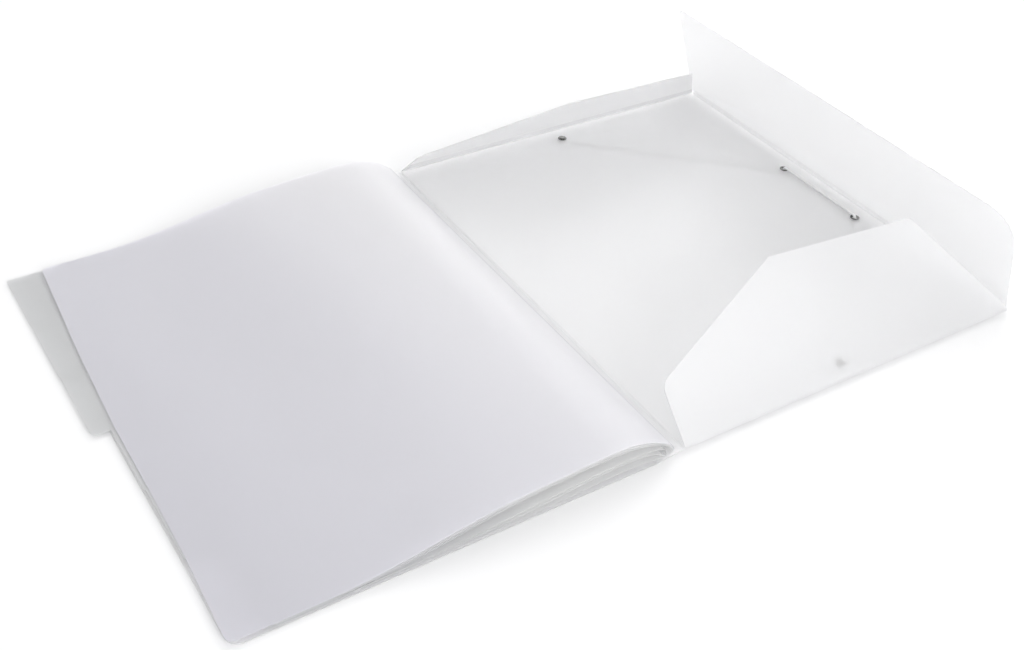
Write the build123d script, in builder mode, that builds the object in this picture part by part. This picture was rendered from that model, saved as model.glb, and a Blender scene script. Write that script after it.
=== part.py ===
from build123d import *
import os
from math import asin, cos, degrees, pi, radians, sin

# Three-flap elastic file with six tabbed dividers, lying open, in millimetres.
#
# The file is one die-cut polypropylene sheet, scored and folded into a front cover, a spine, a back cover
# and three flaps. Each flap joins the back cover through a narrow gusset, which gives the closed file its
# depth. Six thinner dividers hang from the inside of the spine and lie arched over the front cover. A
# round elastic runs through four eyelets in the back cover.
#
# Every crease is a hinge line on the outer face of the sheet, with a V groove on the inner face.
# X runs from the front cover to the back cover, Y from the foot to the head of a page, and Z is up.
# The origin lies on the table, below the middle of the open file.

# The cover sheet
PAGE_HEIGHT = 320.0
FRONT_WIDTH = 241.0
SPINE_WIDTH = 18.0
BACK_WIDTH = 263.0
SHEET = 0.6
CORNER_RADIUS = 7.0
BACK_CORNER_RADIUS = 3.0

# A score: the sheet stops short of the hinge line, and a V in its inner face thins it towards its edge.
# The V of a crease that folds right over is wider.
SCORE_GAP = 0.25
SCORE_LAND = 0.06
SCORE_RUN = 0.8
SCORE_RUN_FOLDED = 1.6

# The elastic holds the back cover off the table, and the front cover lies flat on it
CORD_DIAMETER = 2.0
EYELET_RIM = 0.4
BACK_LIFT = CORD_DIAMETER + EYELET_RIM + 0.1
SPINE_SLOPE = degrees(asin(BACK_LIFT / SPINE_WIDTH))

# The flaps as they stand, in degrees folded in from lying open and flat. A flap's corners are
# (depth from the back cover, place along its edge, radius).
END_FLAP_LEAN = 135.0
END_GUSSET = 4.0
END_FLAP_CORNERS = [(37.0, 5.8, 8.0), (82.0, 97.6, 4.0), (75.4, 210.3, 4.0), (5.2, 259.1, 1.0)]
SIDE_FLAP_LEAN = 109.0
SIDE_GUSSET = 4.4
SIDE_FLAP_CORNERS = [(80.0, 159.0, 5.0), (76.0, -159.5, 20.0), (5.4, -156.0, 1.0)]
GUSSET_INSET = 3.0

# The dividers
DIVIDER_COUNT = 6
DIVIDER_SHEET = 0.3
DIVIDER_HEIGHT = 318.0
DIVIDER_WIDTH = 256.0
DIVIDER_MARGIN = 28.0
DIVIDER_SLOT = 0.15
TAB_DEPTH = 10.5
TAB_RADIUS = 4.0
TAB_GAP = 1.0

# How the dividers hang: their places down the spine, and how steeply each margin leaves it
FIRST_DIVIDER = 13.5
DIVIDER_PITCH = 1.5
SPINE_CLEARANCE = 0.3
MARGIN_RISE = [4.0, 12.0, 16.0, 30.0, 34.0, 38.0]
STACK_START = 0.5
STACK_STEP = 0.75

# The eyelets and the elastic
EYELET_INSET = 14.0
END_EYELET_FROM_SPINE = 128.7
FORE_EYELET_SPACING = 72.0
EYELET_BORE = 3.8
EYELET_BARREL = 4.4
EYELET_HOLE = 4.5
EYELET_FLANGE = 6.4
EYELET_ROLL = 5.8
EYELET_CHAMFER = 0.15
CORD_BEND = 1.75
CORD_END_DIAMETER = 4.6
CORD_END_HEIGHT = 0.6

# The hinge line between spine and back cover is set so that the open file is centred on the origin
TAB_REACH = FIRST_DIVIDER * cos(radians(SPINE_SLOPE)) + DIVIDER_WIDTH
BACK_CREASE = (TAB_REACH - BACK_WIDTH) / 2
FORE_EDGE = BACK_CREASE + BACK_WIDTH
HEAD = PAGE_HEIGHT / 2
BACK_TOP = BACK_LIFT + SHEET

UP = Vector(0, 0, 1)


def leftward(rise):
    """The direction that points to the front cover's side and rises by so many degrees."""
    return Vector(-cos(radians(rise)), 0, sin(radians(rise)))


def above(rise):
    """The direction square to leftward(rise), on the upper side."""
    return Vector(sin(radians(rise)), 0, cos(radians(rise)))


def folded_in(outward, lean):
    """The run and the inner side of a flap, folded in by so many degrees from lying open and flat."""
    run = outward * cos(radians(lean)) + UP * sin(radians(lean))
    inner = outward * -sin(radians(lean)) + UP * cos(radians(lean))
    return run, inner


def outer_face(crease, run, inner):
    """The plane of a sheet's outer face, measured from its crease."""
    return Plane(origin=crease, x_dir=run, z_dir=inner)


def score(crease, run, inner, width=SCORE_RUN):
    """Press the V groove of the crease into the sheet that runs away from it."""
    with BuildSketch(Plane(origin=crease, x_dir=run, z_dir=run.cross(inner))) as groove:
        with BuildLine():
            Polyline(
                (-width, SCORE_LAND),
                (SCORE_GAP, SCORE_LAND),
                (SCORE_GAP + width, SHEET),
                (SCORE_GAP + width, 2 * SHEET),
                (-width, 2 * SHEET),
                close=True,
            )
        make_face()
    extrude(groove.sketch, amount=PAGE_HEIGHT, both=True, mode=Mode.SUBTRACT)


# The spine slopes down from the back cover's level to the front cover's
back_crease = Vector(BACK_CREASE, 0, BACK_LIFT)
spine_run, spine_inner = leftward(-SPINE_SLOPE), above(-SPINE_SLOPE)
front_crease = back_crease + spine_run * SPINE_WIDTH

with BuildPart() as spine_panel:
    with BuildSketch(outer_face(back_crease, spine_run, spine_inner)):
        with Locations((SPINE_WIDTH / 2, 0)):
            Rectangle(SPINE_WIDTH - 2 * SCORE_GAP, PAGE_HEIGHT)
    extrude(amount=SHEET)
    score(back_crease, spine_run, spine_inner)
    score(front_crease, -spine_run, spine_inner)
spine_panel.part.label = "spine_panel"

# The front cover lies flat on the table
with BuildPart() as front_cover:
    with BuildSketch(outer_face(front_crease, leftward(0), UP)):
        with Locations(((SCORE_GAP + FRONT_WIDTH) / 2, 0)):
            front_blank = Rectangle(FRONT_WIDTH - SCORE_GAP, PAGE_HEIGHT)
        fillet(front_blank.vertices().sort_by(Axis.X)[-2:], CORNER_RADIUS)
    extrude(amount=SHEET)
    score(front_crease, leftward(0), UP)
front_cover.part.label = "front_cover"

# The back cover is scored on all four sides and punched for the eyelets
head_crease = Vector(BACK_CREASE, HEAD, BACK_LIFT)
foot_crease = Vector(BACK_CREASE, -HEAD, BACK_LIFT)
fore_crease = Vector(FORE_EDGE, 0, BACK_LIFT)
eyelet_places = {
    "eyelet_head": (BACK_CREASE + END_EYELET_FROM_SPINE, HEAD - EYELET_INSET),
    "eyelet_foot": (BACK_CREASE + END_EYELET_FROM_SPINE, EYELET_INSET - HEAD),
    "eyelet_fore_upper": (FORE_EDGE - EYELET_INSET, FORE_EYELET_SPACING / 2),
    "eyelet_fore_lower": (FORE_EDGE - EYELET_INSET, -FORE_EYELET_SPACING / 2),
}

with BuildPart() as back_cover:
    with BuildSketch(Plane.XY.offset(BACK_LIFT)):
        with Locations((BACK_CREASE + BACK_WIDTH / 2, 0)):
            back_blank = Rectangle(BACK_WIDTH - 2 * SCORE_GAP, PAGE_HEIGHT - 2 * SCORE_GAP)
        fillet(back_blank.vertices().sort_by(Axis.X)[-2:], BACK_CORNER_RADIUS)
        with Locations(*eyelet_places.values()):
            Circle(EYELET_HOLE / 2, mode=Mode.SUBTRACT)
    extrude(amount=SHEET)
    score(back_crease, Vector(1, 0, 0), UP)
    score(fore_crease, Vector(-1, 0, 0), UP)
    score(head_crease, Vector(0, -1, 0), UP, SCORE_RUN_FOLDED)
    score(foot_crease, Vector(0, 1, 0), UP, SCORE_RUN_FOLDED)
back_cover.part.label = "back_cover"


def gusset(crease, run, inner, depth, ends, width=SCORE_RUN):
    """The strip between two scores at an edge of the back cover, from one end to the other along it."""
    with BuildPart() as strip:
        with BuildSketch(outer_face(crease, run, inner)):
            with Locations((depth / 2, sum(ends) / 2)):
                Rectangle(depth - 2 * SCORE_GAP, abs(ends[1] - ends[0]))
        extrude(amount=SHEET)
        score(crease, run, inner, width)
        score(crease + run * depth, -run, inner)
    return strip.part


def flap(crease, run, inner, start, corners):
    """A flap, from its score on the gusset outwards."""
    root = start + SCORE_GAP
    outline = [(root, corners[0][1], 0.0), *corners, (root, corners[-1][1], 0.0)]
    with BuildPart() as blank:
        with BuildSketch(outer_face(crease, run, inner)):
            with BuildLine():
                FilletPolyline(
                    *[(depth, place) for depth, place, _ in outline],
                    radius=[radius for _, _, radius in outline],
                    close=True,
                )
            make_face()
        extrude(amount=SHEET)
        score(crease + run * start, run, inner)
    return blank.part


# The flaps at the head and foot of the page are mirror images, so the places along the head's run back
foot_run, foot_inner = folded_in(Vector(0, -1, 0), END_FLAP_LEAN)
head_run, head_inner = folded_in(Vector(0, 1, 0), END_FLAP_LEAN)
side_run, side_inner = folded_in(Vector(1, 0, 0), SIDE_FLAP_LEAN)
foot_ends = (END_FLAP_CORNERS[0][1], BACK_WIDTH - GUSSET_INSET)
head_ends = (-foot_ends[0], -foot_ends[1])
side_ends = (GUSSET_INSET - HEAD, HEAD - GUSSET_INSET)
head_flap_corners = [(depth, -place, radius) for depth, place, radius in END_FLAP_CORNERS]

flap_pieces = {
    "foot_gusset": gusset(foot_crease, foot_run, foot_inner, END_GUSSET, foot_ends, SCORE_RUN_FOLDED),
    "head_gusset": gusset(head_crease, head_run, head_inner, END_GUSSET, head_ends, SCORE_RUN_FOLDED),
    "side_gusset": gusset(fore_crease, side_run, side_inner, SIDE_GUSSET, side_ends),
    "foot_flap": flap(foot_crease, foot_run, foot_inner, END_GUSSET, END_FLAP_CORNERS),
    "head_flap": flap(head_crease, head_run, head_inner, END_GUSSET, head_flap_corners),
    "side_flap": flap(fore_crease, side_run, side_inner, SIDE_GUSSET, SIDE_FLAP_CORNERS),
}


def divider_margin(root, rise):
    """The strip of a divider between the spine and the bend."""
    with BuildPart() as margin:
        with BuildSketch(outer_face(root, leftward(rise), above(rise))):
            with Locations(((DIVIDER_MARGIN - DIVIDER_SLOT) / 2, 0)):
                Rectangle(DIVIDER_MARGIN - DIVIDER_SLOT, DIVIDER_HEIGHT)
        extrude(amount=DIVIDER_SHEET / 2, both=True)
    return margin.part


def divider_leaf(bend, rise, number):
    """A divider from the bend to its free edge. Each one's tab is a step nearer the foot."""
    tab_pitch = DIVIDER_HEIGHT / DIVIDER_COUNT
    tab_middle = (number - 0.5) * tab_pitch - DIVIDER_HEIGHT / 2
    body_end = DIVIDER_WIDTH - DIVIDER_MARGIN - TAB_DEPTH
    with BuildPart() as leaf:
        with BuildSketch(outer_face(bend, leftward(rise), above(rise))):
            with Locations((body_end, tab_middle)):
                tab = Rectangle(2 * TAB_DEPTH, tab_pitch - TAB_GAP)
            fillet(tab.vertices().sort_by(Axis.X)[-2:], TAB_RADIUS)
            with Locations(((DIVIDER_SLOT + body_end) / 2, 0)):
                Rectangle(body_end - DIVIDER_SLOT, DIVIDER_HEIGHT)
        extrude(amount=DIVIDER_SHEET / 2, both=True)
    return leaf.part


# The dividers hang from the inner face of the spine, and their free edges lie in a stack on the cover.
# A divider's hinge lines are in the middle of its sheet.
root_height = SHEET + SPINE_CLEARANCE + DIVIDER_SHEET / 2
divider_pieces = {}
for index, margin_rise in enumerate(MARGIN_RISE):
    number = index + 1
    place = FIRST_DIVIDER - index * DIVIDER_PITCH
    root = back_crease + spine_run * place + spine_inner * root_height
    bend = root + leftward(margin_rise) * DIVIDER_MARGIN
    edge_height = SHEET + STACK_START + index * STACK_STEP
    leaf_rise = -degrees(asin((bend.Z - edge_height) / (DIVIDER_WIDTH - DIVIDER_MARGIN)))
    divider_pieces[f"divider_margin_{number}"] = divider_margin(root, margin_rise)
    divider_pieces[f"divider_{number}"] = divider_leaf(bend, leaf_rise, number)
    print(f"divider {number}: root {root.X:.4f} {root.Z:.4f}, bend {bend.X:.4f} {bend.Z:.4f}, "
          f"margin rises {margin_rise:.1f}, leaf rises {leaf_rise:.4f} degrees")


def eyelet(x, y):
    """A flanged eyelet, rolled over on the outer side of the cover."""
    bore, barrel = EYELET_BORE / 2, EYELET_BARREL / 2
    roll, flange = EYELET_ROLL / 2, EYELET_FLANGE / 2
    flange_top = SHEET + EYELET_RIM
    with BuildPart() as ring:
        with BuildSketch(Plane(origin=(x, y, BACK_LIFT), x_dir=(1, 0, 0), z_dir=(0, -1, 0))) as profile:
            with BuildLine():
                Polyline(
                    (bore, -EYELET_RIM),
                    (roll, -EYELET_RIM),
                    (roll, 0),
                    (barrel, 0),
                    (barrel, SHEET),
                    (flange, SHEET),
                    (flange, flange_top),
                    (bore, flange_top),
                    close=True,
                )
            make_face()
            heights = profile.vertices().group_by(Axis.Y)
            chamfer(heights[0] + heights[-1], EYELET_CHAMFER)
        revolve(axis=Axis((x, y, 0), (0, 0, 1)))
    return ring.part


eyelet_pieces = {name: eyelet(*place) for name, place in eyelet_places.items()}

# The elastic: under the cover from the head to the fore edge, along the fore edge on the inside, and
# under the cover again to the foot
flange_height = BACK_TOP + EYELET_RIM
cord_low = CORD_DIAMETER / 2
cord_high = flange_height + CORD_DIAMETER / 2 + 0.05
head_eye, foot_eye, upper_eye, lower_eye = eyelet_places.values()

with BuildPart() as elastic_cord:
    with BuildLine():
        cord_route = FilletPolyline(
            (*head_eye, flange_height),
            (*head_eye, cord_low),
            (*upper_eye, cord_low),
            (*upper_eye, cord_high),
            (*lower_eye, cord_high),
            (*lower_eye, cord_low),
            (*foot_eye, cord_low),
            (*foot_eye, flange_height),
            radius=CORD_BEND,
        )
    with BuildSketch(Plane(origin=cord_route @ 0, z_dir=cord_route % 0)):
        Circle(CORD_DIAMETER / 2)
    sweep(path=cord_route)
elastic_cord.part.label = "elastic_cord"
cord_ratio = elastic_cord.part.volume / (cord_route.length * pi * CORD_DIAMETER**2 / 4)
print(f"elastic: {cord_route.length:.1f} mm long, volume {cord_ratio:.4f} of section times length")


def cord_end(x, y):
    """The metal button that keeps the end of the elastic in its eyelet."""
    with BuildPart() as button:
        with BuildSketch(Plane.XY.offset(flange_height)):
            with Locations((x, y)):
                Circle(CORD_END_DIAMETER / 2)
        extrude(amount=CORD_END_HEIGHT)
        chamfer(button.edges().group_by(Axis.Z)[-1], CORD_END_HEIGHT / 2)
    return button.part


cord_ends = {"cord_end_head": cord_end(*head_eye), "cord_end_foot": cord_end(*foot_eye)}

os.makedirs("parts", exist_ok=True)
export_step(front_cover.part, "parts/front_cover.step")
export_step(spine_panel.part, "parts/spine_panel.step")
export_step(back_cover.part, "parts/back_cover.step")
export_step(elastic_cord.part, "parts/elastic_cord.step")
for name, piece in {**flap_pieces, **divider_pieces, **eyelet_pieces, **cord_ends}.items():
    piece.label = name
    export_step(piece, f"parts/{name}.step")
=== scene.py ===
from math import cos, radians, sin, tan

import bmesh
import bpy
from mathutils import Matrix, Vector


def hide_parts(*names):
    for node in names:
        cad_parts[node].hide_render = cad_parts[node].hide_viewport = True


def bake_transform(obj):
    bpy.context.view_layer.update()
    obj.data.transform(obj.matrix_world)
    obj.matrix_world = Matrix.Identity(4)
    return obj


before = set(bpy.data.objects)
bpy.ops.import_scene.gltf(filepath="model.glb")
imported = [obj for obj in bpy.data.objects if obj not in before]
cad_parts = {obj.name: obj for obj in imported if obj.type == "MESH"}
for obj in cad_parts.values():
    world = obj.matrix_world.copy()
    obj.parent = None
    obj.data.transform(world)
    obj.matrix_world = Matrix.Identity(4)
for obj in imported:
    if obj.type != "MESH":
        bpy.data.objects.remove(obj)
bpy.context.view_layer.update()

# %% [markdown]
# # A three-flap elastic file with dividers
# The real object is a folder of frosted plastic sheet. It lies open: dividers are turned over to the left,
# and three flaps stand around the back cover on the right. The exact solids are already in the scene, so
# this lesson gives them their finish, and replaces the sheets that are bent or curled.

# %% [markdown]
# ## Camera
# The photograph was taken from the left of the foot edge, looking down at about 38 degrees, with the
# camera turned a little about its own axis. The place and the three angles were worked out from the
# straight edges of the covers. A lens of 44.7 mm gives the same strong perspective.

# %% Camera
CAMERA_PLACE = (-0.3632, -0.5151, 0.4696)
CAMERA_ANGLES = (51.960, -3.234, -32.419)
LENS = 44.667
SENSOR_WIDTH = 36.0

bpy.ops.object.select_all(action="DESELECT")
bpy.ops.object.camera_add(location=CAMERA_PLACE)
camera = bpy.context.object
camera.rotation_euler = [radians(angle) for angle in CAMERA_ANGLES]
camera.data.lens = LENS
camera.data.sensor_width = SENSOR_WIDTH
bpy.context.scene.camera = camera
print("camera at", [round(value, 3) for value in camera.location])

# %% [markdown]
# ## Floor
# A plain, matte floor carries the file. It lies a hair below the solids, so that the two surfaces don't
# share a plane, and it is so large that it ends close to the horizon of a low view. It is light enough to
# read as the white of a studio.

# %% Floor
FLOOR_SIZE = 20.0
FLOOR_DROP = 0.0002


def plain_material(name, color, roughness):
    """A matte surface of one colour, for the stage."""
    material = bpy.data.materials.new(name)
    material.use_nodes = True
    shader = material.node_tree.nodes["Principled BSDF"]
    shader.inputs["Base Color"].default_value = (*color, 1)
    shader.inputs["Roughness"].default_value = roughness
    return material


bpy.ops.object.select_all(action="DESELECT")
bpy.ops.mesh.primitive_plane_add(size=FLOOR_SIZE, location=(0, 0, -FLOOR_DROP))
floor = bpy.context.object
floor.name = "studio_floor"
floor.data.materials.append(plain_material("studio_white", (0.92, 0.92, 0.925), 0.9))
print("floor", FLOOR_SIZE, "m across")

# %% [markdown]
# ## Light
# Frosted plastic has hardly any colour of its own, so it is drawn by soft light from all round: a bright
# world and three large lamps. The one above is faint. The one behind shines through the standing flap and
# makes it glow, and the strongest one is in front, at the foot. The Standard view transform keeps the
# white of the studio white.

# %% Light
WORLD_STRENGTH = 0.78

world = bpy.data.worlds.new("studio_world")
bpy.context.scene.world = world
bpy.context.scene.view_settings.view_transform = "Standard"
world.use_nodes = True
world.node_tree.nodes["Background"].inputs["Color"].default_value = (1.0, 1.0, 1.0, 1)
world.node_tree.nodes["Background"].inputs["Strength"].default_value = WORLD_STRENGTH


def soft_lamp(name, place, aim, size, power):
    """A large square lamp at one point, turned towards another."""
    bpy.ops.object.light_add(type="AREA", location=place)
    lamp = bpy.context.object
    lamp.name = name
    lamp.data.shape = "SQUARE"
    lamp.data.size = size
    lamp.data.energy = power
    lamp.rotation_euler = (Vector(aim) - Vector(place)).to_track_quat("-Z", "Y").to_euler()
    return lamp


lamps = [
    soft_lamp("top_softbox", (0.3, 0.6, 1.6), (0, 0, 0), 1.2, 2.0),
    soft_lamp("back_softbox", (1.0, 0.9, 0.8), (0.2, 0.1, 0.0), 0.9, 7.9),
    soft_lamp("front_softbox", (0.1, -1.6, 0.7), (0.15, -0.1, 0.03), 0.9, 15.0),
]
print("lamps:", [round(lamp.data.energy, 1) for lamp in lamps], "watts")

# %% [markdown]
# ## The finish of frosted sheet
# Frosted polypropylene has a fine, even grain pressed into both faces. It scatters light, so what lies
# close behind it shows as a blur, and what is further away disappears. A rough transmission does just
# that. The grain and a very faint cloudiness are shared by the cover sheet and the dividers, so they go
# into one node group.

# %% Frosted grain
CLOUD_SCALE = 9.0
CLOUD_DETAIL = 3.0
GRAIN_SCALE = 1400.0
GRAIN_DETAIL = 2.0
GRAIN_DEPTH = 0.0001
SMOOTHEST, ROUGHEST = 0.37, 0.48


def group_socket(group, name, way, kind, value=None):
    """Give a node group one input or output."""
    socket = group.interface.new_socket(name=name, in_out=way, socket_type=kind)
    if value is not None:
        socket.default_value = value


frost = bpy.data.node_groups.new("frosted_grain", "ShaderNodeTree")
group_socket(frost, "Color", "INPUT", "NodeSocketColor", (0.8, 0.8, 0.82, 1))
group_socket(frost, "Cloudiness", "INPUT", "NodeSocketFloat", 0.03)
group_socket(frost, "Grain", "INPUT", "NodeSocketFloat", 0.1)
group_socket(frost, "Color", "OUTPUT", "NodeSocketColor")
group_socket(frost, "Roughness", "OUTPUT", "NodeSocketFloat")
group_socket(frost, "Normal", "OUTPUT", "NodeSocketVector")
nodes, links = frost.nodes, frost.links
group_in = nodes.new("NodeGroupInput")
group_out = nodes.new("NodeGroupOutput")
surface_place = nodes.new("ShaderNodeTexCoord")
clouds = nodes.new("ShaderNodeTexNoise")
clouds.inputs["Scale"].default_value = CLOUD_SCALE
clouds.inputs["Detail"].default_value = CLOUD_DETAIL
grain = nodes.new("ShaderNodeTexNoise")
grain.inputs["Scale"].default_value = GRAIN_SCALE
grain.inputs["Detail"].default_value = GRAIN_DETAIL
darker = nodes.new("ShaderNodeMix")
darker.data_type = "RGBA"
darker.blend_type = "MULTIPLY"
darker.inputs["B"].default_value = (0.0, 0.0, 0.0, 1)
cloud_amount = nodes.new("ShaderNodeMath")
cloud_amount.operation = "MULTIPLY"
spread = nodes.new("ShaderNodeMapRange")
spread.inputs["To Min"].default_value = SMOOTHEST
spread.inputs["To Max"].default_value = ROUGHEST
bump = nodes.new("ShaderNodeBump")
bump.inputs["Distance"].default_value = GRAIN_DEPTH
print("frosted grain:", len(nodes), "nodes")

# %% [markdown]
# The clouds darken the colour a little, and make the surface a little rougher or smoother in broad
# patches. The grain only tilts the surface, through a bump.

# %% Link the frosted grain
links.new(surface_place.outputs["Object"], clouds.inputs["Vector"])
links.new(surface_place.outputs["Object"], grain.inputs["Vector"])
links.new(group_in.outputs["Color"], darker.inputs["A"])
links.new(clouds.outputs["Fac"], cloud_amount.inputs[0])
links.new(group_in.outputs["Cloudiness"], cloud_amount.inputs[1])
links.new(cloud_amount.outputs["Value"], darker.inputs["Factor"])
links.new(clouds.outputs["Fac"], spread.inputs["Value"])
links.new(grain.outputs["Fac"], bump.inputs["Height"])
links.new(group_in.outputs["Grain"], bump.inputs["Strength"])
links.new(darker.outputs["Result"], group_out.inputs["Color"])
links.new(spread.outputs["Result"], group_out.inputs["Roughness"])
links.new(bump.outputs["Normal"], group_out.inputs["Normal"])
print("frosted grain:", len(links), "links")

# %% [markdown]
# ## Frosted materials
# Three materials use the grain: the thick cover sheet, the lower dividers and the top divider. Glass-like
# transmission alone would look too clear and too dark here, because a real sheet sends part of the light
# back out from inside. A small emission of the sheet's own colour is painted light: a glow that stands in
# for that scattered light and lifts the shade on every sheet.

# %% Frosted materials
# The strength of the painted glow, an emission that lifts the shade of every frosted sheet.
PAINTED_GLOW = 0.05
SHEET_IOR = 1.3
SHEET_SPECULAR = 0.35
CLOUDINESS = 0.03
GRAIN_STRENGTH = 0.1


def frosted_material(name, color, see_through):
    """Frosted plastic: part of the light passes through, and a painted glow of emission stands in for the
    part scattered inside it.
    """
    material = bpy.data.materials.new(name)
    material.use_nodes = True
    tree = material.node_tree
    shader = tree.nodes["Principled BSDF"]
    shader.inputs["Transmission Weight"].default_value = see_through
    shader.inputs["IOR"].default_value = SHEET_IOR
    shader.inputs["Specular IOR Level"].default_value = SHEET_SPECULAR
    finish = tree.nodes.new("ShaderNodeGroup")
    finish.node_tree = frost
    finish.inputs["Color"].default_value = (*color, 1)
    finish.inputs["Cloudiness"].default_value = CLOUDINESS
    finish.inputs["Grain"].default_value = GRAIN_STRENGTH
    tree.links.new(finish.outputs["Color"], shader.inputs["Base Color"])
    tree.links.new(finish.outputs["Roughness"], shader.inputs["Roughness"])
    tree.links.new(finish.outputs["Normal"], shader.inputs["Normal"])
    # Painted light: the sheet emits a faint glow of its own colour, which lifts its shade.
    shader.inputs["Emission Color"].default_value = (*color, 1)
    shader.inputs["Emission Strength"].default_value = PAINTED_GLOW
    return material


cover_finish = frosted_material("frosted_cover_sheet", (0.945, 0.945, 0.951), 0.80)
lower_divider_finish = frosted_material("frosted_lower_dividers", (0.80, 0.805, 0.81), 0.65)
divider_finish = frosted_material("frosted_top_divider", (0.74, 0.735, 0.775), 0.6)
print("frosted finishes:", cover_finish.name, lower_divider_finish.name, divider_finish.name)

# %% [markdown]
# ## Painted light and shade on the dividers
# A divider is painted in greys that stand for light and shade. Towards the free edges and the tabs it is
# painted darker, as painted shade, and near the spine, where light gets in under the arch, it is painted
# lighter. A colour ramp along a slanting line from the foot of the free edge to the head of the spine paints
# that on the top sheet. The lower sheets have a ramp of their own: their tabs get the darkest painted shade
# of the stack, and inside it they are painted light.

# %% Painted light and shade on the dividers
def paint_shade_along(material, direction, first, last, greys):
    """Paint light and shade into a frosted material's colour along a direction, from the place first to the
    place last, in metres.
    """
    tree = material.node_tree
    surface_place = tree.nodes.new("ShaderNodeTexCoord")
    along = tree.nodes.new("ShaderNodeVectorMath")
    along.operation = "DOT_PRODUCT"
    along.inputs[1].default_value = direction
    stretch = tree.nodes.new("ShaderNodeMapRange")
    stretch.inputs["From Min"].default_value = first
    stretch.inputs["From Max"].default_value = last
    tones = tree.nodes.new("ShaderNodeValToRGB")
    for position, color in greys[2:]:
        tones.color_ramp.elements.new(position)
    for stop, (position, color) in zip(tones.color_ramp.elements, greys):
        stop.position = position
        stop.color = (*color, 1)
    finish = next(node for node in tree.nodes if node.type == "GROUP")
    tree.links.new(surface_place.outputs["Object"], along.inputs[0])
    tree.links.new(along.outputs["Value"], stretch.inputs["Value"])
    tree.links.new(stretch.outputs["Result"], tones.inputs["Fac"])
    tree.links.new(tones.outputs["Color"], finish.inputs["Color"])
    print(f"greys of {material.name}: {len(tones.color_ramp.elements)}")


# Painted light and shade: greys from the darker free edge and tabs to the lighter spine.
top_painted_shade = [(0.03, (0.80, 0.795, 0.84)), (0.33, (0.87, 0.865, 0.905)), (0.60, (0.89, 0.885, 0.92)),
             (0.78, (0.93, 0.925, 0.95)), (0.95, (0.95, 0.945, 0.96))]
lower_painted_shade = [(0.10, (0.79, 0.795, 0.80)), (0.22, (0.815, 0.82, 0.83)), (0.40, (0.86, 0.86, 0.87)),
               (0.70, (0.93, 0.93, 0.93))]
paint_shade_along(divider_finish, (1.0, 0.25, 0.0), -0.30, 0.0, top_painted_shade)
paint_shade_along(lower_divider_finish, (1.0, 0.0, 0.0), -0.28, 0.0, lower_painted_shade)

# %% [markdown]
# ## Metal
# The eyelets and the ends of the elastic are nickel-plated steel. Their base colour is painted dark, a
# painted reflection of dark surroundings, so they are small and dark among so much white. A fine noise
# makes the plating shinier in one place than in the next, as handling does.

# %% Nickel-plated steel
PLATING_SCALE = 900.0
PLATING_SHINY, PLATING_DULL = 0.15, 0.4

steel = bpy.data.materials.new("nickel_plated_steel")
steel.use_nodes = True
steel_nodes, steel_links = steel.node_tree.nodes, steel.node_tree.links
steel_shader = steel_nodes["Principled BSDF"]
# Painted reflection: a dark base colour stands in for the dark surroundings that the plating reflects.
steel_shader.inputs["Base Color"].default_value = (0.14, 0.14, 0.135, 1)
steel_shader.inputs["Metallic"].default_value = 1.0
steel_place = steel_nodes.new("ShaderNodeTexCoord")
handling = steel_nodes.new("ShaderNodeTexNoise")
handling.inputs["Scale"].default_value = PLATING_SCALE
shine = steel_nodes.new("ShaderNodeMapRange")
shine.inputs["To Min"].default_value = PLATING_SHINY
shine.inputs["To Max"].default_value = PLATING_DULL
steel_links.new(steel_place.outputs["Object"], handling.inputs["Vector"])
steel_links.new(handling.outputs["Fac"], shine.inputs["Value"])
steel_links.new(shine.outputs["Result"], steel_shader.inputs["Roughness"])
print("metal:", steel.name)

# %% [markdown]
# ## Elastic
# The elastic is a rubber core in a braided white cover. At this size a braid looks like a surface of small
# round bumps. A texture of closely packed cells, fed into a bump, gives them.

# %% Braided elastic
BRAID_SCALE = 2600.0
BRAID_STRENGTH = 0.5
BRAID_DEPTH = 0.0002

braid = bpy.data.materials.new("white_braided_elastic")
braid.use_nodes = True
braid_nodes, braid_links = braid.node_tree.nodes, braid.node_tree.links
braid_shader = braid_nodes["Principled BSDF"]
braid_shader.inputs["Base Color"].default_value = (0.86, 0.86, 0.86, 1)
braid_shader.inputs["Roughness"].default_value = 0.85
braid_place = braid_nodes.new("ShaderNodeTexCoord")
threads = braid_nodes.new("ShaderNodeTexVoronoi")
threads.inputs["Scale"].default_value = BRAID_SCALE
raised = braid_nodes.new("ShaderNodeBump")
raised.inputs["Strength"].default_value = BRAID_STRENGTH
raised.inputs["Distance"].default_value = BRAID_DEPTH
braid_links.new(braid_place.outputs["Object"], threads.inputs["Vector"])
braid_links.new(threads.outputs["Distance"], raised.inputs["Height"])
braid_links.new(raised.outputs["Normal"], braid_shader.inputs["Normal"])
print("elastic:", braid.name)

# %% [markdown]
# ## Painting the solids
# The covers, the spine, the eyelets and the elastic keep their exact shape. Only their material changes,
# in each slot of the object.

# %% Paint the solids
def paint(node, material):
    """Give a solid its finish in every material slot."""
    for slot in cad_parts[node].material_slots:
        slot.material = material


solid_finishes = {
    "front_cover": cover_finish, "spine_panel": cover_finish, "back_cover": cover_finish,
    "eyelet_head": steel, "eyelet_foot": steel, "eyelet_fore_upper": steel, "eyelet_fore_lower": steel,
    "cord_end_head": steel, "cord_end_foot": steel,
    "elastic_cord": braid,
}
for node, material in solid_finishes.items():
    paint(node, material)
print("painted", len(solid_finishes), "solids")

# %% [markdown]
# ## Cutting a flat blank
# Every sheet of the file was cut flat and then bent, and it is made that way here too. A circle with as
# many vertices as the sheet has corners becomes the blank: its vertices are moved to the corners, and
# each corner is rounded with a vertex bevel. Cuts across the blank give it the rows it needs to bend.

# %% Blank helper
MM = 0.001
SAME_PLACE = 1e-5
CORNER_SEGMENTS = 6


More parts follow.
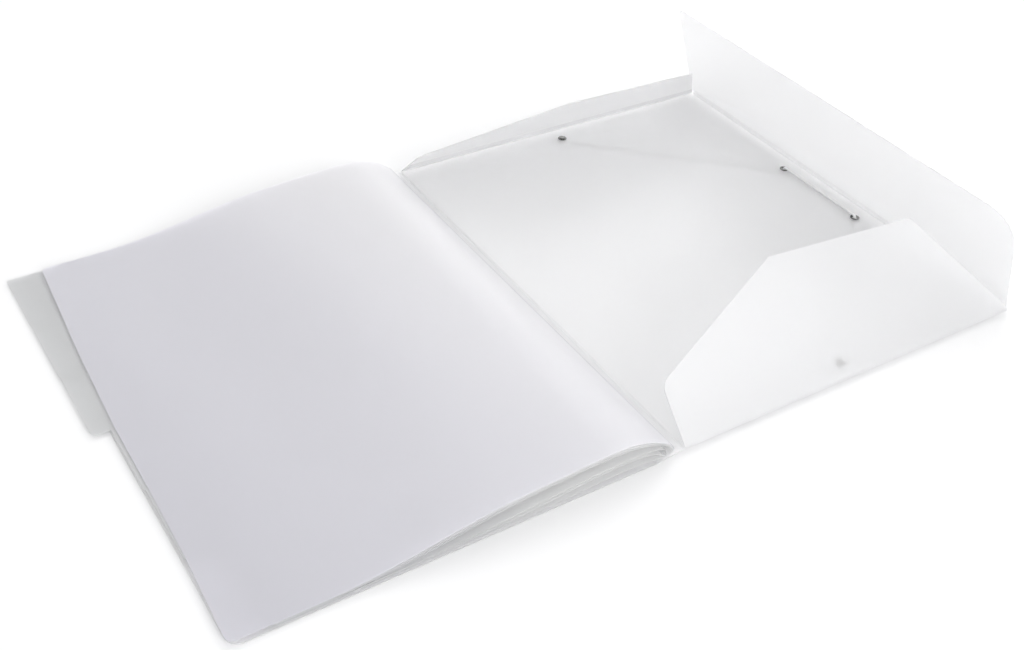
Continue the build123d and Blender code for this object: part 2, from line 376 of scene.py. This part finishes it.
def select_near(blank, points):
    """Select the vertices of the blank that lie at these points, in edit mode."""
    mesh = bmesh.from_edit_mesh(blank.data)
    for vertex in mesh.verts:
        vertex.select = any((vertex.co - Vector(point)).length < SAME_PLACE for point in points)
    mesh.select_flush_mode()
    bmesh.update_edit_mesh(blank.data)


def cut_blank(name, corners):
    """A flat blank in the XY plane. Each corner is (x, y, radius) in millimetres."""
    bpy.ops.object.select_all(action="DESELECT")
    bpy.ops.mesh.primitive_circle_add(vertices=len(corners), radius=0.1, fill_type="NGON")
    blank = bpy.context.object
    blank.name = name
    for vertex, (x, y, _) in zip(blank.data.vertices, corners):
        vertex.co = (x * MM, y * MM, 0)
    bpy.ops.object.mode_set(mode="EDIT")
    bpy.ops.mesh.select_mode(type="VERT")
    for index, (x, y, radius) in enumerate(corners):
        if radius:
            here = Vector((x, y))
            before = Vector(corners[index - 1][:2])
            after = Vector(corners[(index + 1) % len(corners)][:2])
            turn = (before - here).angle(after - here)
            select_near(blank, [(x * MM, y * MM, 0)])
            bpy.ops.mesh.bevel(offset=radius / tan(turn / 2) * MM, offset_type="OFFSET",
                               segments=CORNER_SEGMENTS, affect="VERTICES")
    bpy.ops.object.mode_set(mode="OBJECT")
    return blank


print("each rounded corner has", CORNER_SEGMENTS, "segments")

# %% [markdown]
# The other helpers cut rows across a blank, apply a modifier, and finish a sheet once it is closed.

# %% Sheet helpers
SMOOTH_ANGLE = 40


def cut_across(blank, cuts, axis):
    """Cut the blank straight across at each place along the axis, 0 for X and 1 for Y."""
    bpy.ops.object.mode_set(mode="EDIT")
    for cut in cuts:
        bpy.ops.mesh.select_all(action="SELECT")
        point, normal = [0, 0, 0], [0, 0, 0]
        point[axis], normal[axis] = cut * MM, 1
        bpy.ops.mesh.bisect(plane_co=point, plane_no=normal)
    bpy.ops.object.mode_set(mode="OBJECT")


def apply_modifier(thing, kind, name, **settings):
    """Add a modifier, set it and apply it."""
    bpy.ops.object.select_all(action="DESELECT")
    bpy.context.view_layer.objects.active = thing
    thing.select_set(True)
    modifier = thing.modifiers.new(name, kind)
    for key, value in settings.items():
        setattr(modifier, key, value)
    bpy.ops.object.modifier_apply(modifier=name)


def finish_sheet(sheet, material):
    """Make the normals of a closed sheet point outwards, shade it and give it its finish."""
    bpy.ops.object.mode_set(mode="EDIT")
    bpy.ops.mesh.select_all(action="SELECT")
    bpy.ops.mesh.normals_make_consistent(inside=False)
    bpy.ops.object.mode_set(mode="OBJECT")
    bpy.ops.object.shade_smooth_by_angle(angle=radians(SMOOTH_ANGLE))
    sheet.data.materials.clear()
    sheet.data.materials.append(material)
    print(f"{sheet.name}: {len(sheet.data.polygons)} faces")


print("edges that turn less than", SMOOTH_ANGLE, "degrees are shaded smooth")

# %% [markdown]
# ## The dividers
# Six thin sheets hang from the spine. They have been turned over onto the front cover, and because they
# are springy they stand up from the spine in an arch before they come down flat. The five lower blanks
# have one tab each, a step further from the head than the last. The top sheet covers the sixth step with
# its slanted free edge. A curve has the shape of the sheet seen from its edge, and a Curve modifier bends
# the blank along it, so the sheet keeps its true length.

# %% Divider outlines
SHEET_COUNT = 6
DIVIDER_HEIGHT = 318.0
TAB_PITCH = DIVIDER_HEIGHT / SHEET_COUNT
TAB_GAP = 0.8
TAB_ROUND = 4.0
TAB_LAP = 4.0

# The developed width of each sheet out to its tab, and the width of the rest of the sheet
tab_reach = {1: 256.1, 2: 259.0, 3: 262.5, 4: 258.0, 5: 259.0}
body_reach = {1: 229.0, 2: 231.0, 3: 233.5, 4: 239.4, 5: 240.6}

# The top sheet ends in a slanted edge: the distance from the middle of the sheet, and the developed width
top_sheet_edge = [(-159, 250.6), (-70, 256.0), (-2, 258.6), (48, 258.8), (100, 259.4), (159, 261.8)]


def divider_corners(number):
    """The outline of a divider from the spine edge at X 0. Its head is at -Y, as the bend turns it over."""
    half = DIVIDER_HEIGHT / 2
    if number == SHEET_COUNT:
        edge = [(reach, y, TAB_ROUND if abs(y) == half else 0) for y, reach in top_sheet_edge]
        return [(0, -half, 0)] + edge + [(0, half, 0)]
    body, tab = body_reach[number], tab_reach[number]
    low = max((number - 1) * TAB_PITCH - TAB_LAP, 0) - half
    high = number * TAB_PITCH - TAB_GAP - half
    corners = [(0, -half, 0)]
    if number > 1:
        corners += [(body, -half, TAB_ROUND), (body, low, 0)]
    corners += [(tab, low, TAB_ROUND / 2), (tab, high, TAB_ROUND)]
    corners += [(body, high, 0), (body, half, TAB_ROUND), (0, half, 0)]
    return corners


print("tab pitch", TAB_PITCH, "mm")

# %% [markdown]
# Further out the sheets lie almost flat on each other, about one thickness apart, and near the spine they
# stand up in an arch. The shapes were fitted to the photograph, and in three places a sheet presses
# into the one below it, by about a tenth of a millimetre at most.

# %% Divider shapes
CURVE_STEPS = 16

# Each shape is the sheet's middle line in X and Z, in millimetres, from the spine to past its free edge
divider_shapes = {
    1: [(-10.3, 1.7), (-20, 3.4), (-38, 4.1), (-60, 3.0), (-90, 1.5), (-120, 0.95), (-270, 0.9)],
    2: [(-8.9, 1.9), (-13, 5.4), (-22, 8.2), (-37, 9.2), (-62, 7.8), (-92, 4.6), (-125, 2.6), (-155, 1.85),
        (-200, 1.45), (-270, 1.25)],
    3: [(-7.4, 2.1), (-8.5, 6.2), (-18, 10.2), (-35, 11.2), (-60, 10.1), (-90, 7.3), (-122, 4.5), (-155, 2.6),
        (-190, 1.75), (-230, 1.6), (-270, 1.6)],
    4: [(-5.9, 2.3), (-5.2, 5.9), (-8.9, 9.6), (-25.3, 16.2), (-41, 18.0), (-54, 18.0), (-83, 16.6),
        (-111, 13.6), (-139, 8.6), (-166, 4.8), (-193, 2.85), (-218, 2.15), (-245, 1.95), (-270, 1.95)],
    5: [(-4.4, 2.5), (-3.8, 5.5), (-7.8, 9.6), (-24, 17.2), (-40, 19.5), (-53.5, 19.6), (-83, 18.3),
        (-111, 15.8), (-139, 10.7), (-166, 6.1), (-193, 3.2), (-218, 2.45), (-245, 2.3), (-270, 2.3)],
    6: [(-2.9, 2.7), (-2.7, 5.2), (-6.8, 9.5), (-22.8, 18.2), (-38.8, 20.9), (-52.8, 20.8), (-82.8, 19.0),
        (-110.8, 16.8), (-138.8, 12.4), (-165.8, 7.5), (-192.8, 3.9), (-218, 2.8), (-245, 2.7),
        (-270, 2.7)],
}


def edge_curve(name, points):
    """A smooth curve through the points of a shape, in the XZ plane."""
    curve = bpy.data.curves.new(name, "CURVE")
    curve.dimensions = "3D"
    curve.twist_mode = "Z_UP"
    curve.resolution_u = CURVE_STEPS
    line = curve.splines.new("BEZIER")
    line.bezier_points.add(len(points) - 1)
    for knot, (x, z) in zip(line.bezier_points, points):
        knot.co = (x * MM, 0, z * MM)
        knot.handle_left_type = knot.handle_right_type = "AUTO"
    holder = bpy.data.objects.new(name, curve)
    bpy.context.collection.objects.link(holder)
    return holder


print("tops of the arches in mm:", [max(z for _, z in shape) for shape in divider_shapes.values()])

# %% [markdown]
# The blank is cut into narrow rows where the arch is tight, near the spine, and into wider ones further
# out. The sheet follows its margin near the spine and its leaf beyond, and turns smoothly in between.

# %% Bend the dividers
DIVIDER_SHEET = 0.3
TIGHT_ROWS = [2 + 3 * step for step in range(20)]
WIDE_ROWS = [66 + 9 * step for step in range(20)]
CROSS_ROWS = [-120, -80, -40, 0, 40, 80, 120]

for number, shape in divider_shapes.items():
    sheet = cut_blank(f"divider_sheet_{number}", divider_corners(number))
    cut_across(sheet, TIGHT_ROWS + WIDE_ROWS, 0)
    cut_across(sheet, CROSS_ROWS, 1)
    shape_curve = edge_curve(f"divider_shape_{number}", shape)
    sheet.data.transform(sheet.matrix_world)
    apply_modifier(sheet, "CURVE", "bend", object=shape_curve, deform_axis="POS_X")
    apply_modifier(sheet, "SOLIDIFY", "thickness", thickness=DIVIDER_SHEET * MM, offset=0)
    bpy.data.objects.remove(shape_curve, do_unlink=True)
    finish_sheet(sheet, divider_finish if number == SHEET_COUNT else lower_divider_finish)
    lowest = [round(min(vertex.co[axis] for vertex in sheet.data.vertices), 4) for axis in range(3)]
    highest = [round(max(vertex.co[axis] for vertex in sheet.data.vertices), 4) for axis in range(3)]
    print("   from", lowest, "to", highest)
    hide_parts(f"divider_{number}", f"divider_margin_{number}")
    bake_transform(sheet)

# %% [markdown]
# ## The flaps
# Each flap is cut flat with its gusset, the narrow strip beside the cover that lets the full file close
# with some depth. A score line separates the two. The blank is laid out with its crease on the X axis,
# turned up to the angle at which the flap stands, and set down on the edge of the back cover.

# %% Flap blanks
CREASE = 3.1846
BACK_WIDTH = 263.0
BACK_LIFT = 2.5
HALF_HEIGHT = 160
SHEET = 0.6
SCORE_DEPTH = 0.3
SCORE_HALF_WIDTH = 0.4
END_GUSSET = 4.0
SIDE_GUSSET = 4.4
FLAP_ROWS = [20, 40, 60]
FLAP_COLUMN = 30

# The corners of a flap: place along its crease, depth from the crease, and radius
end_corners = [(1.4, 0.3, 0), (260.5, 0.3, 0), (259.2, 5.2, 2),
               (210.3, 75.4, 5), (97.6, 82.2, 5), (1.1, 37.0, 8)]
side_corners = [(-157, 0.3, 0), (157, 0.3, 0), (159, 5.2, 1),
                (160, 80.4, 5), (-159.5, 76.5, 20), (-157, 5.2, 1)]

# The turns of each flap about X, Y and Z, in degrees
FOOT_TURN = (45, 0, 0)
HEAD_TURN = (135, 0, 0)
SIDE_TURN = (71, 0, 90)


def sheet_run(turn):
    """The direction in which the depth of a flap runs, after it is turned."""
    tilt, heading = radians(turn[0]), radians(turn[2])
    return Vector((-cos(tilt) * sin(heading), cos(tilt) * cos(heading), sin(tilt)))


def make_flap(name, corners, gusset, side, place, turn, bodies):
    """Cut, score and stand one flap. The side is which way its inner face looks before it is turned."""
    sheet = cut_blank(name, corners)
    score_rows = [gusset - SCORE_HALF_WIDTH, gusset, gusset + SCORE_HALF_WIDTH]
    cut_across(sheet, score_rows + FLAP_ROWS, 1)
    cut_across(sheet, [corners[0][0] + FLAP_COLUMN * step for step in range(1, 9)], 0)
    apply_modifier(sheet, "SOLIDIFY", "thickness", thickness=SHEET * MM, offset=side)
    bpy.ops.object.mode_set(mode="EDIT")
    mesh = bmesh.from_edit_mesh(sheet.data)
    for vertex in mesh.verts:
        on_score = abs(vertex.co.y - gusset * MM) < SAME_PLACE
        vertex.select = on_score and abs(vertex.co.z) > SHEET / 2 * MM
    mesh.select_flush_mode()
    bmesh.update_edit_mesh(sheet.data)
    bpy.ops.transform.translate(value=(0, 0, -SCORE_DEPTH * side * MM))
    bpy.ops.object.mode_set(mode="OBJECT")
    sheet.location = [value * MM for value in place]
    sheet.rotation_euler = [radians(value) for value in turn]
    bpy.ops.object.transform_apply(location=True, rotation=True, scale=True)
    finish_sheet(sheet, cover_finish)
    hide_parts(*bodies)
    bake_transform(sheet)


print("depth of the flaps in mm:", max(y for _, y, _ in end_corners), max(y for _, y, _ in side_corners))

# %% [markdown]
# The end flaps have the same outline and stand at 45 degrees over the cover, one from each end. The side
# flap stands nearly upright along the fore edge.

# %% Stand the flaps
make_flap("foot_flap_sheet", end_corners, END_GUSSET, -1, (CREASE, -HALF_HEIGHT, BACK_LIFT), FOOT_TURN,
          ("foot_gusset", "foot_flap"))
make_flap("head_flap_sheet", end_corners, END_GUSSET, 1, (CREASE, HALF_HEIGHT, BACK_LIFT), HEAD_TURN,
          ("head_gusset", "head_flap"))
make_flap("side_flap_sheet", side_corners, SIDE_GUSSET, -1, (CREASE + BACK_WIDTH, 0, BACK_LIFT), SIDE_TURN,
          ("side_gusset", "side_flap"))

# %% [markdown]
# ## The creases
# The covers and gussets are one sheet, and only a thin web of it is left in each crease. The web is a
# narrow ribbon: a grid whose long rows are laid along the two outer faces and round the fold. It is bent
# to the angle of the crease that it crosses.

# %% Crease webs
WEB_ROWS = 6
WEB_COLUMNS = 4
WEB_REACHES = {3: 1.2, 2: 0.5, 1: 0.12, 0: 0.0}
WEB_SINK = 0.03
WEB_SHEET = 0.04


def crease_web(name, place, along, length, first_way, second_way):
    """A thin ribbon over a crease, from 1.2 mm before it to 1.2 mm after it."""
    bpy.ops.object.select_all(action="DESELECT")
    bpy.ops.mesh.primitive_grid_add(x_subdivisions=WEB_ROWS, y_subdivisions=WEB_COLUMNS, size=1)
    web = bpy.context.object
    web.name = name
    origin, along = Vector(place) * MM, Vector(along)
    first, second = Vector(first_way).normalized(), Vector(second_way).normalized()
    inside = (first + second).normalized() if (first + second).length > 0.01 else Vector((0, 0, 1))
    for vertex in web.data.vertices:
        row = round((vertex.co.x + 0.5) * WEB_ROWS) - WEB_ROWS // 2
        way = first if row < 0 else second
        point = origin + way * WEB_REACHES[abs(row)] * MM + inside * WEB_SINK * MM
        vertex.co = point + along * vertex.co.y * length * MM
    apply_modifier(web, "SOLIDIFY", "thickness", thickness=WEB_SHEET * MM, offset=0)
    finish_sheet(web, cover_finish)
    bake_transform(web)


print("a web is", 2 * WEB_REACHES[3], "mm wide")

# %% [markdown]
# Five creases get a web: two beside the spine, which slopes down to the front cover, and one for each
# gusset. The webs of the gussets are a little shorter than the edges of the cover, as the gussets are.

# %% Place the webs
SPINE_WIDTH = 18
SPINE_SLOPE = radians(7.984)
SPINE_WEB = 320
END_WEB = 258
SIDE_WEB = 314
END_WEB_MIDDLE = CREASE + 131
front_crease = (CREASE - SPINE_WIDTH * cos(SPINE_SLOPE), 0, 0)
down_the_spine = (-cos(SPINE_SLOPE), 0, -sin(SPINE_SLOPE))
up_the_spine = (cos(SPINE_SLOPE), 0, sin(SPINE_SLOPE))

crease_web("spine_web_back", (CREASE, 0, BACK_LIFT), (0, 1, 0), SPINE_WEB, down_the_spine, (1, 0, 0))
crease_web("spine_web_front", front_crease, (0, 1, 0), SPINE_WEB, up_the_spine, (-1, 0, 0))
crease_web("foot_web", (END_WEB_MIDDLE, -HALF_HEIGHT, BACK_LIFT), (1, 0, 0), END_WEB, (0, 1, 0),
           sheet_run(FOOT_TURN))
crease_web("head_web", (END_WEB_MIDDLE, HALF_HEIGHT, BACK_LIFT), (1, 0, 0), END_WEB, (0, -1, 0),
           sheet_run(HEAD_TURN))
crease_web("side_web", (CREASE + BACK_WIDTH, 0, BACK_LIFT), (0, 1, 0), SIDE_WEB, (-1, 0, 0),
           sheet_run(SIDE_TURN))
